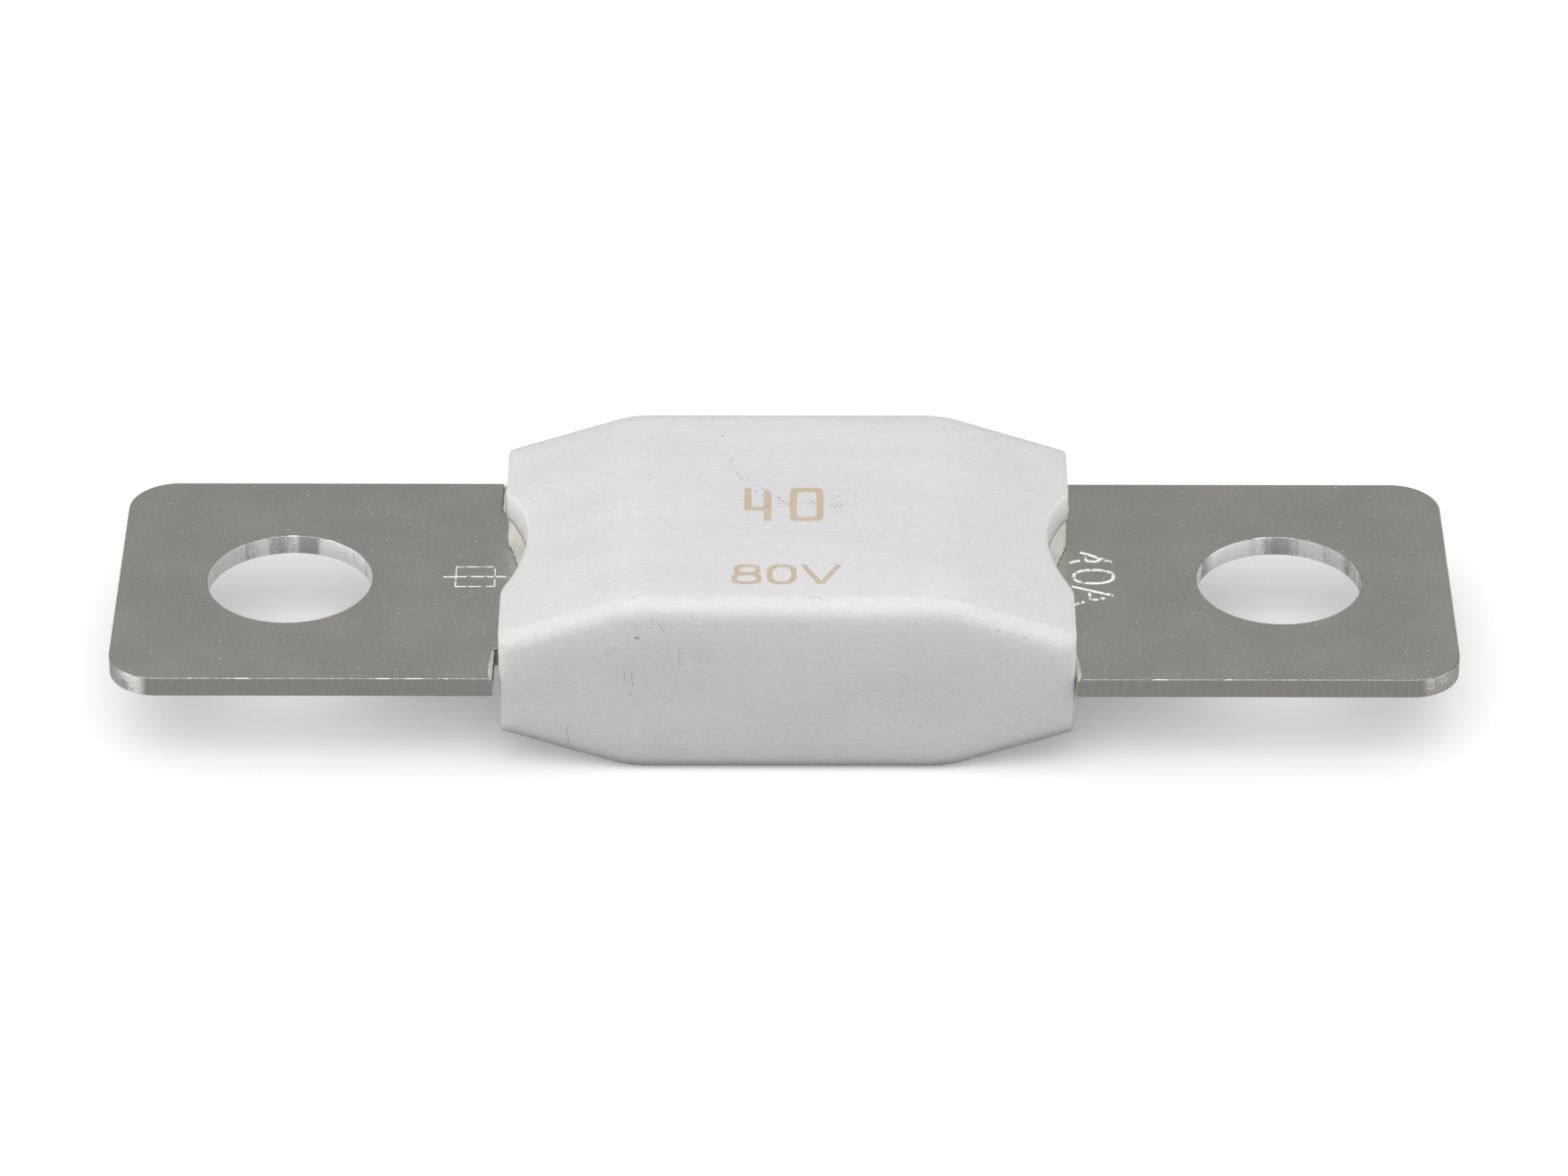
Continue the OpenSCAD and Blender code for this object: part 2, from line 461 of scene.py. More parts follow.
def make_facing_group():
    """Masks for the upright faces, for the rims between them and the lying ones, and for the
    walls of the bolt holes. Turn is 1 on faces that look along the strip and 0 across it."""
    group, inputs, outputs = new_group(
        "facing", (("Vector", "NodeSocketVector", None),), ("Upright", "Rim", "In Hole", "Turn"))
    geometry = group.nodes.new("ShaderNodeNewGeometry")
    normal = add_node(group, "ShaderNodeSeparateXYZ", i0=geometry.outputs["Normal"])
    tilt = math_node(group, "ABSOLUTE", normal.outputs["Z"])
    group.links.new(math_node(group, "ABSOLUTE", normal.outputs["X"]), outputs["Turn"])
    upright = ramp_between(group, tilt, 0.35, 0.75, 1.0, 0.0)
    group.links.new(upright, outputs["Upright"])
    lying = ramp_between(group, tilt, 0.93, 0.985)
    rim = math_node(group, "SUBTRACT", 1.0, math_node(group, "MAXIMUM", upright, lying))
    group.links.new(rim, outputs["Rim"])
    place = add_node(group, "ShaderNodeSeparateXYZ", i0=inputs["Vector"])
    along = math_node(group, "SUBTRACT", math_node(group, "ABSOLUTE", place.outputs["X"]), HOLE_X)
    flat = add_node(group, "ShaderNodeCombineXYZ", X=along, Y=place.outputs["Y"])
    length = group.nodes.new("ShaderNodeVectorMath")
    length.operation = "LENGTH"
    group.links.new(flat.outputs[0], length.inputs[0])
    near = math_node(group, "LESS_THAN", length.outputs["Value"], HOLE_R + HOLE_MARGIN)
    group.links.new(scaled(group, near, upright), outputs["In Hole"])
    return group


def start_material(name, roughness, metallic=0.0):
    """A material with its shader, and the place on the piece that its patterns read."""
    material = bpy.data.materials.new(name)
    material.use_nodes = True
    tree = material.node_tree
    shader = tree.nodes["Principled BSDF"]
    shader.inputs["Roughness"].default_value = roughness
    shader.inputs["Metallic"].default_value = metallic
    place = tree.nodes.new("ShaderNodeTexCoord").outputs["Object"]
    return material, tree, shader, place


def stretch(tree, place, scale, turn=0.0):
    """The pattern's coordinates, turned about Z and then stretched by 1/scale on each axis."""
    turned = add_node(tree, "ShaderNodeMapping", Vector=place, Rotation=(0, 0, turn))
    return add_node(tree, "ShaderNodeMapping", Vector=turned.outputs[0], Scale=scale).outputs[0]


def set_relief(tree, shader, height, depth, strength):
    """Bumps the surface; height is a pattern, and depth what its value of 1 stands for."""
    bump = add_node(tree, "ShaderNodeBump", Height=height, Distance=depth, Strength=strength)
    tree.links.new(bump.outputs[0], shader.inputs["Normal"])


# Finishes: one colour, or the darker and the lighter one that a pattern goes between
CERAMIC = (0.742, 0.742, 0.745), (0.774, 0.774, 0.772)
CERAMIC_GRAIN = (0.45, 0.45, 0.45), (1.0, 1.0, 1.0)
# Painted light: the whiter colour of the ends and grooves
CERAMIC_ENDS_PAINTED_LIGHT = (0.93, 0.93, 0.925)
SCUFFS = (0.30, 0.30, 0.31)
PLATING = (0.500, 0.495, 0.459), (0.534, 0.526, 0.487)
PLATING_GRAIN = (0.3, 0.3, 0.29), (0.85, 0.84, 0.81)
GLINTS = (1.0, 0.99, 0.95)
# Streaked cut edges, painted darker as painted shade
SHEARED_EDGE_AND_SHADE = (0.295, 0.292, 0.274), (0.345, 0.34, 0.32)
# Painted glints on the round corners of the tips
CORNER_PAINTED_GLINT = (0.47, 0.46, 0.43), (0.98, 0.97, 0.94)
# Painted light on the walls of the bolt holes
HOLE_WALL_PAINTED_LIGHT = (0.46, 0.46, 0.47), (1.0, 1.0, 0.98)
# Painted shade and painted glints on the rims
RIM_PAINTED_SHADE = (0.18, 0.18, 0.17), (0.46, 0.455, 0.43)
RIM_PAINTED_GLINTS = (0.92, 0.91, 0.88)
CEMENT = (0.55, 0.545, 0.485), (0.66, 0.655, 0.595)
# Painted shade in the pores of the cement
CEMENT_PORE_SHADE = (0.42, 0.40, 0.34)
TAN_INK = (0.60, 0.475, 0.33), (0.78, 0.76, 0.73)
GREY_DIRT = (0.36, 0.36, 0.36), (0.62, 0.62, 0.63)
# Painted glints and painted shade on the stamped figures
BURR_PAINTED_GLINTS = (0.27, 0.265, 0.25), (1.0, 0.995, 0.975)
COPPER = (0.62, 0.30, 0.18), (0.78, 0.42, 0.28)
TIN = (0.60, 0.61, 0.62), (0.76, 0.77, 0.78)

# How far light scatters inside the ceramic
CERAMIC_SCATTER = 3.4 * MM

# Hair scratches of the plating, painted bright as glints: turn in radians, and the share of cells
# that hold one
HAIR_GLINTS = ((0.5, 0.35), (-0.35, 0.30), (1.4, 0.20))


def make_ceramic(grain, specks, facing):
    """Pressed white ceramic: fine grain drawn out along the strip, slow faint patches, sparse
    grey specks and scuffs. The ends and grooves are painted a little whiter, as painted light."""
    material, tree, shader, place = start_material("white_ceramic", 0.5)
    shader.inputs["Specular IOR Level"].default_value = 0.35
    shader.inputs["Subsurface Weight"].default_value = 0.85
    shader.inputs["Subsurface Radius"].default_value = (1.0, 1.0, 1.0)
    shader.inputs["Subsurface Scale"].default_value = CERAMIC_SCATTER
    pressed = stretch(tree, place, (0.35, 1.0, 1.0))
    body = use_group(tree, grain, Vector=pressed, Size=0.18 * MM, Patch_Size=3 * MM)
    colour = tint(tree, body["Patches"], 0.35, 0.65, CERAMIC)
    # Painted light: faces that look along the strip, the ends and grooves, are painted whiter
    turn = use_group(tree, facing, Vector=place)["Turn"]
    colour = mix_colours(tree, ramp_between(tree, turn, 0.5, 0.8), colour, CERAMIC_ENDS_PAINTED_LIGHT)
    fine = tint(tree, body["Grain"], 0.3, 0.7, CERAMIC_GRAIN)
    colour = mix_colours(tree, 0.08, colour, fine)
    spots = use_group(tree, specks, Vector=place, Spacing=2.1 * MM, Radius=0.028, Share=0.12)
    scuff_place = stretch(tree, place, (1.0, 0.12, 0.12), 0.35)
    scuffs = use_group(
        tree, specks, Vector=scuff_place, Spacing=1.6 * MM, Radius=0.022, Share=0.30)
    marks = math_node(tree, "MAXIMUM", spots["Mask"], scaled(tree, scuffs["Mask"], 0.5))
    colour = mix_colours(tree, scaled(tree, marks, 0.45), colour, SCUFFS)
    tree.links.new(colour, shader.inputs["Base Color"])
    rough = ramp_between(tree, body["Grain"], 0.3, 0.7, 0.46, 0.54)
    tree.links.new(rough, shader.inputs["Roughness"])
    set_relief(tree, shader, body["Grain"], 0.016 * MM, 0.6)
    return material


def make_plating(grain, specks, facing):
    """Satin tin plating with painted glints on specks and hair scratches, streaks and painted
    shade on the cut edges, painted glints on the round corners, painted shade and glints on the
    rims, and painted light mottling in the holes."""
    material, tree, shader, place = start_material("satin_plating", 0.3, 1.0)
    body = use_group(tree, grain, Vector=place, Size=0.12 * MM, Patch_Size=4 * MM)
    face = use_group(tree, facing, Vector=place)
    colour = tint(tree, body["Patches"], 0.3, 0.7, PLATING)
    fine = tint(tree, body["Grain"], 0.3, 0.7, PLATING_GRAIN)
    colour = mix_colours(tree, 0.10, colour, fine)
    glints = use_group(
        tree, specks, Vector=place, Spacing=0.9 * MM, Radius=0.085, Share=0.3)["Mask"]
    for turn, share in HAIR_GLINTS:
        hair_place = stretch(tree, place, (0.05, 1.0, 1.0), turn)
        hair_glints = use_group(
            tree, specks, Vector=hair_place, Spacing=0.9 * MM, Radius=0.035, Share=share)
        glints = math_node(tree, "MAXIMUM", glints, scaled(tree, hair_glints["Mask"], 0.3))
    # Painted glints: the specks and hair scratches are painted near white
    colour = mix_colours(tree, scaled(tree, glints, 0.95), colour, GLINTS)
    # Streaks run up the sheared edges, and the upright faces are painted darker as painted shade
    streak_place = stretch(tree, place, (1.0, 1.0, 0.08))
    streaks = use_group(
        tree, grain, Vector=streak_place, Size=0.16 * MM, Patch_Size=1.4 * MM)
    sheared_and_shaded = tint(tree, streaks["Grain"], 0.3, 0.7, SHEARED_EDGE_AND_SHADE)
    colour = mix_colours(tree, face["Upright"], colour, sheared_and_shaded)
    # Painted highlight: the round corners of the tips get painted glints in patches
    corner = scaled(
        tree, ramp_between(tree, face["Turn"], 0.15, 0.40),
        ramp_between(tree, face["Turn"], 0.80, 0.97, 1.0, 0.0))
    corner = scaled(tree, corner, face["Upright"])
    corner_glint_pattern = added(tree, body["Patches"], scaled(tree, body["Grain"], 0.25))
    painted_corner_glint = tint(tree, corner_glint_pattern, 0.61, 0.71, CORNER_PAINTED_GLINT)
    colour = mix_colours(tree, corner, colour, painted_corner_glint)
    # Painted light: the hole walls are painted mottled, dark across the strip, bright on either
    # side and grey at the ends
    mottle_and_painted_light = added(
        tree, streaks["Patches"], scaled(tree, body["Grain"], 0.3),
        scaled(tree, streaks["Grain"], 0.12),
        ramp_between(tree, face["Turn"], 0.16, 0.42, -0.13, 0.12),
        ramp_between(tree, face["Turn"], 0.62, 0.9, 0.0, -0.07))
    painted_hole_light = tint(tree, mottle_and_painted_light, 0.54, 0.80, HOLE_WALL_PAINTED_LIGHT)
    colour = mix_colours(tree, face["In Hole"], colour, painted_hole_light)
    # Painted shade and highlight: the rims get a painted dark line with short broken runs of
    # painted glints
    painted_rim_light = tint(tree, body["Grain"], 0.42, 0.60, RIM_PAINTED_SHADE)
    rim_glint_share = ramp_between(tree, streaks["Patches"], 0.56, 0.62)
    painted_rim_light = mix_colours(tree, rim_glint_share, painted_rim_light, RIM_PAINTED_GLINTS)
    colour = mix_colours(tree, face["Rim"], colour, painted_rim_light)
    tree.links.new(colour, shader.inputs["Base Color"])
    metal = added(
        tree, 1.0, scaled(tree, face["Upright"], -0.4), scaled(tree, face["In Hole"], 0.15))
    tree.links.new(metal, shader.inputs["Metallic"])
    rough = ramp_between(tree, body["Patches"], 0.3, 0.7, 0.27, 0.33)
    rough = added(tree, rough, scaled(tree, face["In Hole"], 0.22))
    tree.links.new(rough, shader.inputs["Roughness"])
    ridges = scaled(tree, face["Upright"], scaled(tree, streaks["Grain"], 1.5))
    set_relief(tree, shader, added(tree, body["Grain"], ridges), 0.004 * MM, 0.5)
    return material


def make_cement(grain, specks):
    """Dull cream cement with pores, painted darker in the pores as painted shade."""
    material, tree, shader, place = start_material("cream_cement", 0.85)
    body = use_group(tree, grain, Vector=place, Size=0.25 * MM, Patch_Size=1.6 * MM)
    colour = tint(tree, body["Patches"], 0.35, 0.65, CEMENT)
    pores_and_shade = use_group(
        tree, specks, Vector=place, Spacing=0.5 * MM, Radius=0.2, Share=0.2)["Mask"]
    # Painted shade: the pores are painted darker
    colour = mix_colours(tree, scaled(tree, pores_and_shade, 0.4), colour, CEMENT_PORE_SHADE)
    tree.links.new(colour, shader.inputs["Base Color"])
    height = math_node(tree, "SUBTRACT", body["Grain"], pores_and_shade)
    set_relief(tree, shader, height, 0.04 * MM, 0.8)
    return material


def make_ink(grain):
    """Tan ink that the grain of the ceramic shows through."""
    material, tree, shader, place = start_material("tan_ink", 0.5)
    body = use_group(tree, grain, Vector=place, Size=0.14 * MM, Patch_Size=0.9 * MM)
    cover = added(
        tree, ramp_between(tree, body["Grain"], 0.3, 0.75, 0.0, 0.22),
        ramp_between(tree, body["Patches"], 0.4, 0.7, 0.0, 0.18))
    colour = mix_colours(tree, cover, *TAN_INK)
    tree.links.new(colour, shader.inputs["Base Color"])
    set_relief(tree, shader, body["Grain"], 0.008 * MM, 0.6)
    return material


def make_dirt(grain):
    """Grey dirt caught in scratches and pores of the ceramic."""
    material, tree, shader, place = start_material("grey_dirt", 0.7)
    body = use_group(tree, grain, Vector=place, Size=0.12 * MM, Patch_Size=0.8 * MM)
    colour = tint(tree, body["Grain"], 0.3, 0.7, GREY_DIRT)
    tree.links.new(colour, shader.inputs["Base Color"])
    return material


def make_stamping(grain):
    """Burr of the stamped figures, painted bright in short broken runs as painted glints, with
    painted shade in the gaps.
    """
    material, tree, shader, place = start_material("stamped_painted_glints", 0.45)
    body = use_group(tree, grain, Vector=place, Size=0.22 * MM, Patch_Size=0.6 * MM)
    # Painted glints along the stamped ridges, broken by painted shade
    colour = tint(tree, body["Grain"], 0.39, 0.46, BURR_PAINTED_GLINTS)
    tree.links.new(colour, shader.inputs["Base Color"])
    return material


def make_strip(name, grain, colours, roughness, turn=0.0):
    """Rolled or flowed metal that shows fine lines along one direction."""
    material, tree, shader, place = start_material(name, roughness, 1.0)
    lines = stretch(tree, place, (0.08, 1.0, 1.0), turn)
    body = use_group(tree, grain, Vector=lines, Size=0.12 * MM, Patch_Size=2 * MM)
    colour = tint(tree, body["Grain"], 0.3, 0.7, colours)
    tree.links.new(colour, shader.inputs["Base Color"])
    rough = ramp_between(
        tree, body["Patches"], 0.3, 0.7, roughness - 0.06, roughness + 0.06)
    tree.links.new(rough, shader.inputs["Roughness"])
    set_relief(tree, shader, body["Grain"], 0.004 * MM, 0.4)
    return material


# Ceramic sleeve
CREASE_STEPS, CORNER_STEPS = 6, 9
EDGE_STEPS, LIP_STEPS, GROOVE_STEPS = 9, 6, 10


def end_x(y):
    """Where the sleeve ends at y: flat end, round lip or groove."""
    if abs(y) >= LIP_Y:
        return SLEEVE_L / 2
    if abs(y) > GROOVE_Y:
        return LIP_X + math.sqrt(LIP_R ** 2 - (abs(y) - LIP_Y) ** 2)
    return GROOVE_AXIS - math.sqrt(GROOVE_R ** 2 - y ** 2)


def sleeve_ring(y, inset):
    """The side outline at y, drawn in by the inset, as points going round from the top."""
    crease_x = FLAT_L / 2 - CREASE_R * math.tan(SLOPE / 2)
    crease_z = SLEEVE_H / 2 - CREASE_R
    corner_x = end_x(y) - inset * UPRIGHT_EDGE_R / EDGE_R - END_EDGE_R
    slope_in = inset + END_EDGE_R + (corner_x - FLAT_L / 2) * math.sin(SLOPE)
    corner_z = SLEEVE_H / 2 - slope_in / math.cos(SLOPE)
    quarter = []
    for i in range(CREASE_STEPS + 1):
        a = SLOPE * i / CREASE_STEPS
        r = CREASE_R - inset
        quarter.append((crease_x + r * math.sin(a), crease_z + r * math.cos(a)))
    for i in range(CORNER_STEPS + 1):
        a = SLOPE + (math.pi / 2 - SLOPE) * i / CORNER_STEPS
        quarter.append((corner_x + END_EDGE_R * math.sin(a), corner_z + END_EDGE_R * math.cos(a)))
    back = quarter[::-1]
    ring = quarter + [(x, -z) for x, z in back]
    ring += [(-x, -z) for x, z in quarter] + [(-x, z) for x, z in back]
    return [Vector((x, y, z)) for x, z in ring]


def ring_places():
    """From the front face to the back one: each ring's y, and how far it is drawn in."""
    side = SLEEVE_W / 2 - EDGE_R
    half = []
    for i in range(EDGE_STEPS + 1):
        b = math.pi / 2 * (1 - i / EDGE_STEPS)
        half.append((side + EDGE_R * math.sin(b), EDGE_R * (1 - math.cos(b))))
    half += [(LIP_Y - (LIP_Y - GROOVE_Y) * i / LIP_STEPS, 0) for i in range(LIP_STEPS + 1)]
    half += [(GROOVE_Y * (1 - i / GROOVE_STEPS), 0) for i in range(1, GROOVE_STEPS)]
    return [(-y, inset) for y, inset in half] + [(0, 0)] + half[::-1]


def make_sleeve(material):
    """The front face is extruded back ring by ring, each ring shaped to its own outline."""
    rings = [sleeve_ring(y, inset) for y, inset in ring_places()]
    deselect_all()
    bpy.ops.mesh.primitive_circle_add(vertices=len(rings[0]), radius=1, fill_type="NGON")
    sleeve = named("sleeve_body")
    for v, place in zip(sleeve.data.vertices, rings[0]):
        v.co = place
    edit(sleeve)
    bpy.ops.mesh.select_all(action="SELECT")
    for old, new in zip(rings, rings[1:]):
        index = {tuple(round(c, 7) for c in place): i for i, place in enumerate(old)}
        bpy.ops.mesh.extrude_region_move(TRANSFORM_OT_translate={"value": (0, 0, 0)})
        shape = bmesh.from_edit_mesh(sleeve.data)
        for v in shape.verts:
            if v.select:
                v.co = new[index[tuple(round(c, 7) for c in v.co)]]
        bmesh.update_edit_mesh(sleeve.data)
    bpy.ops.object.mode_set(mode="OBJECT")
    face_outwards(sleeve)
    slot = add_box(
        "slot_cut", (-SLEEVE_L, -SLOT_W / 2, -SLOT_H / 2), (SLEEVE_L, SLOT_W / 2, SLOT_H / 2))
    cut_with(sleeve, slot)
    sleeve.location.x = SLEEVE_X
    settle(sleeve)
    smooth(sleeve, 30)
    give(sleeve, material, "ceramic_sleeve")


# Blades
EDGE_ROLL, EDGE_BURR = 0.055 * MM, 0.03 * MM
TIP_SEGMENTS, HOLE_SEGMENTS, ROLL_SEGMENTS = 20, 144, 3


def edge_weight(edge):
    """Bevel weight: the press rolls the upper rims over and leaves the others nearly sharp."""
    if len(edge.link_faces) != 2 or edge.calc_face_angle() < math.radians(40):
        return 0
    if all(abs(v.co.x - NECK_END_X) < TINY for v in edge.verts):
        return 0
    lying = abs(edge.verts[0].co.z - edge.verts[1].co.z) < TINY
    return 1 if lying and edge.verts[0].co.z > 0 else EDGE_BURR / EDGE_ROLL


def weigh_edges(piece):
    shape = bmesh.new()
    shape.from_mesh(piece.data)
    weights = [edge_weight(edge) for edge in shape.edges]
    shape.free()
    layer = piece.data.attributes.new("bevel_weight_edge", "FLOAT", "EDGE")
    layer.data.foreach_set("value", weights)


def make_blade(side, material):
    """Side is 1 for the right blade and -1 for the left one, which is the same turned round."""
    name = "right_blade" if side > 0 else "left_blade"
    blade = add_box(
        name, (SHOULDER_X, -BLADE_W / 2, -SHEET_T / 2), (TIP_X, BLADE_W / 2, SHEET_T / 2))
    edit(blade)
    # Round the two upright corners at the tip
    select_where(blade, "EDGE", lambda edge: all(v.co.x > TIP_X - TINY for v in edge.verts)
                 and abs(edge.verts[0].co.z - edge.verts[1].co.z) > SHEET_T / 2)
    bpy.ops.mesh.bevel(offset=TIP_R, segments=TIP_SEGMENTS, affect="EDGES")
    # Mark off the neck on the shoulder's face and pull it out
    for s in (-1, 1):
        bpy.ops.mesh.select_all(action="SELECT")
        bpy.ops.mesh.bisect(plane_co=(0, s * NECK_W / 2, 0), plane_no=(0, 1, 0))
    select_where(blade, "FACE", lambda face: face.normal.x < -0.99
                 and abs(face.calc_center_median().y) < NECK_W / 2)
    bpy.ops.mesh.extrude_region_move(
        TRANSFORM_OT_translate={"value": (NECK_END_X - SHOULDER_X, 0, 0)})
    bpy.ops.mesh.select_all(action="SELECT")
    bpy.ops.mesh.dissolve_limited(angle_limit=math.radians(0.2))
    bpy.ops.object.mode_set(mode="OBJECT")
    deselect_all()
    bpy.ops.mesh.primitive_cylinder_add(
        vertices=HOLE_SEGMENTS, radius=HOLE_R, depth=4 * SHEET_T, location=(HOLE_X, 0, 0))
    cut_with(blade, settle(named("hole_cut")))
    weigh_edges(blade)
    apply_modifier(
        blade, "BEVEL", limit_method="WEIGHT", width=EDGE_ROLL, segments=ROLL_SEGMENTS,
        use_clamp_overlap=False, offset_type="OFFSET")
    blade.data.attributes.remove(blade.data.attributes["bevel_weight_edge"])
    if side < 0:
        blade.rotation_euler.z = math.pi
        settle(blade)
    smooth(blade, 35)
    give(blade, material, "right_terminal" if side > 0 else "left_terminal")


# Cement
CEMENT_VOXEL = 0.13 * MM
FLARE_SEGMENTS = 128
CEMENT_LUMP, SEAL_LUMP_SIZE, BEAD_LUMP_SIZE = 0.05 * MM, 0.7 * MM, 0.35 * MM

# The cement that packs the play at the left shoulder: from y to y, and half its height
SQUEEZE_Y, SQUEEZE_Z = (6.8 * MM, 9.55 * MM), 0.5 * MM

# Beads of cement on the shoulders: the points of each with their radius, in mm, and x taken
# outwards from the middle
FRONT_BEAD = ((14.78, -6.7, 0.50, 0.04), (14.82, -7.6, 0.52, 0.09), (14.88, -8.6, 0.52, 0.13),
              (14.90, -9.3, 0.50, 0.14), (14.88, -9.62, 0.42, 0.07))
RIGHT_BACK_BEAD = ((14.74, 6.3, 0.50, 0.04), (14.80, 6.9, 0.54, 0.09), (14.82, 7.3, 0.55, 0.10),
                   (14.76, 8.0, 0.48, 0.04))
LEFT_BACK_BEAD = ((14.56, 6.3, 0.47, 0.04), (14.62, 6.9, 0.48, 0.09), (14.64, 7.4, 0.48, 0.10),
                  (14.62, 8.4, 0.47, 0.09), (14.60, 9.1, 0.45, 0.06))


def add_bead(points, side):
    """A tapering bead along the points."""
    curve = bpy.data.curves.new("bead", "CURVE")
    curve.dimensions = "3D"
    curve.bevel_depth = MM
    curve.bevel_resolution = 3
    curve.use_fill_caps = True
    spline = curve.splines.new("NURBS")
    spline.points.add(len(points) - 1)
    spline.use_endpoint_u = True
    spline.order_u = 3
    spline.resolution_u = 6
    for point, (x, y, z, radius) in zip(spline.points, points):
        point.co = (side * x * MM, y * MM, z * MM, 1)
        point.radius = radius
    bead = bpy.data.objects.new("bead", curve)
    bpy.context.scene.collection.objects.link(bead)
    pick(bead)
    bpy.ops.object.convert(target="MESH")
    return bpy.context.object


def roughen(piece, lump, size):
    """Moves each point along its normal by slow noise, the same on every run."""
    normals = [v.normal.copy() for v in piece.data.vertices]
    for v, normal in zip(piece.data.vertices, normals):
        v.co += normal * lump * noise.noise(v.co / size)


def make_cement_seal(side, material):
    """The cement in one mouth of the slot, drawn at the right end, with its shoulder beads. It
    bites into the ceramic above and below, so that no gap shows between them."""
    name = "right_cement" if side > 0 else "left_cement"
    far_x = SLEEVE_L / 2
    seal = add_box(
        name, (far_x - SEAL_DEPTH, -SLOT_W / 2, -SLOT_H / 2 - SEAL_BITE),
        (far_x - SEAL_RECESS, SLOT_W / 2, SLOT_H / 2 + SEAL_BITE))
    cut_with(seal, add_box(
        "neck_cut", (0, -NECK_W / 2, -SHEET_T / 2), (2 * far_x, NECK_W / 2, SHEET_T / 2)))
    # The groove's round runs on down the cement and flares out towards the sheet
    height = (SLOT_H - SHEET_T) / 2 + SEAL_BITE
    radii = (GROOVE_R - SEAL_FLARE, GROOVE_R)
    for s in (-1, 1):
        deselect_all()
        bpy.ops.mesh.primitive_cone_add(
            vertices=FLARE_SEGMENTS, radius1=radii[s < 0], radius2=radii[s > 0], depth=height,
            location=(GROOVE_AXIS, 0, s * (SHEET_T + height) / 2))
        cut_with(seal, settle(named("groove_cut")))
    if side < 0:
        # The play at the left shoulder is packed with cement at the back
        low_x, high_x = far_x, SHOULDER_X + SLEEVE_X
        squeeze = add_box(
            "squeeze", (low_x, -SQUEEZE_Y[1], -SQUEEZE_Z), (high_x, -SQUEEZE_Y[0], SQUEEZE_Z))
        seal = join([seal, squeeze], name)
    apply_modifier(seal, "REMESH", mode="VOXEL", voxel_size=CEMENT_VOXEL, adaptivity=0)
    roughen(seal, CEMENT_LUMP, SEAL_LUMP_SIZE)
    seal.location.x = SLEEVE_X * side
    if side < 0:
        settle(seal)
        seal.rotation_euler.z = math.pi
        seal.location.x = 0
    settle(seal)
    back_bead = RIGHT_BACK_BEAD if side > 0 else LEFT_BACK_BEAD
    beads = [add_bead(points, side) for points in (FRONT_BEAD, back_bead)]
    for bead in beads:
        face_outwards(bead)
        roughen(bead, CEMENT_LUMP, BEAD_LUMP_SIZE)
    join([seal] + beads, name)
    smooth(seal, 50)
    give(seal, material, "right_seal" if side > 0 else "left_seal")


# Print on the sleeve's top, drawn in photograph pixels
PRINT_LIFT = 0.012 * MM
FOUR = ((759.4, 498.6), (761.6, 496.9), (766.9, 500.0), (766.9, 517.4), (779.3, 517.4),
        (779.3, 501.6), (781.5, 500.2), (787.3, 502.2), (787.3, 531.6), (779.3, 531.6),
        (779.3, 520.9), (759.4, 520.9))
VEE = ((816.6, 576.3), (822.6, 576.3), (837.8, 592.6), (852.9, 576.3), (858.8, 576.3),
       (841.6, 596.0), (833.9, 596.0))

# Rings of print: left, top, right and bottom pixel, side and bar widths, and squareness
PRINT_RINGS = (
    ("zero_large", (805.8, 498.1, 840.4, 531.8), (7.3, 4.1), 7.0),
    ("eight_upper", (748.8, 576.0, 776.0, 586.7), (5.2, 2.7), 2.8),
    ("eight_lower", (746.3, 584.2, 777.1, 596.2), (5.6, 2.9), 2.8),
    ("zero_small", (782.4, 576.0, 813.0, 596.2), (5.8, 2.9), 2.8),
)


def oval(left, top, right, bottom, power, count=64):
    """Pixels round an oval between the four sides; a high power squares its corners."""
    cx, cy, rx, ry = (left + right) / 2, (top + bottom) / 2, (right - left) / 2, (bottom - top) / 2
    points = []
    for i in range(count):
        a = 2 * math.pi * i / count
        c, s = math.cos(a), math.sin(a)
        points.append((cx + rx * math.copysign(abs(c) ** (2 / power), c),
                       cy + ry * math.copysign(abs(s) ** (2 / power), s)))
    return points


def add_print(name, outlines):
    """A thin plate of ink from closed outlines in pixels; later outlines are holes."""
    curve = bpy.data.curves.new(name, "CURVE")
    curve.dimensions = "2D"
    curve.fill_mode = "BOTH"
    curve.extrude = PRINT_LIFT
    for outline in outlines:
        spline = curve.splines.new("POLY")
        spline.points.add(len(outline) - 1)
        spline.use_cyclic_u = True
        for point, (px, py) in zip(spline.points, outline):
            place = photo_point(px, py, 2, TOP_Z)
            point.co = (place.x, place.y, 0, 1)
    figure = bpy.data.objects.new(name, curve)
    bpy.context.scene.collection.objects.link(figure)
    pick(figure)
    bpy.ops.object.convert(target="MESH")
    figure = bpy.context.object
    figure.location.z = TOP_Z
    return settle(figure)


def make_print(material):
    figures = {"four": add_print("four", [FOUR]), "vee": add_print("vee", [VEE])}
    for name, (left, top, right, bottom), (side, bar), power in PRINT_RINGS:
        outer = oval(left, top, right, bottom, power)
        inner = oval(left + side, top + bar, right - side, bottom - bar, power)
        figures[name] = add_print(name, [outer, inner])
    # The eight's rings join cleanly when a hair of height sets their faces apart
    upper = figures.pop("eight_upper")
    upper.location.z = TINY
    settle(upper)
    cut_with(figures["eight_lower"], upper, "UNION")
    rating = join(list(figures.values()), "rating_print")
    face_outwards(rating)
    # A film of ink this thin throws no shadow into the ceramic below it
    rating.visible_shadow = False
    rating.visible_diffuse = False
    give(rating, material)


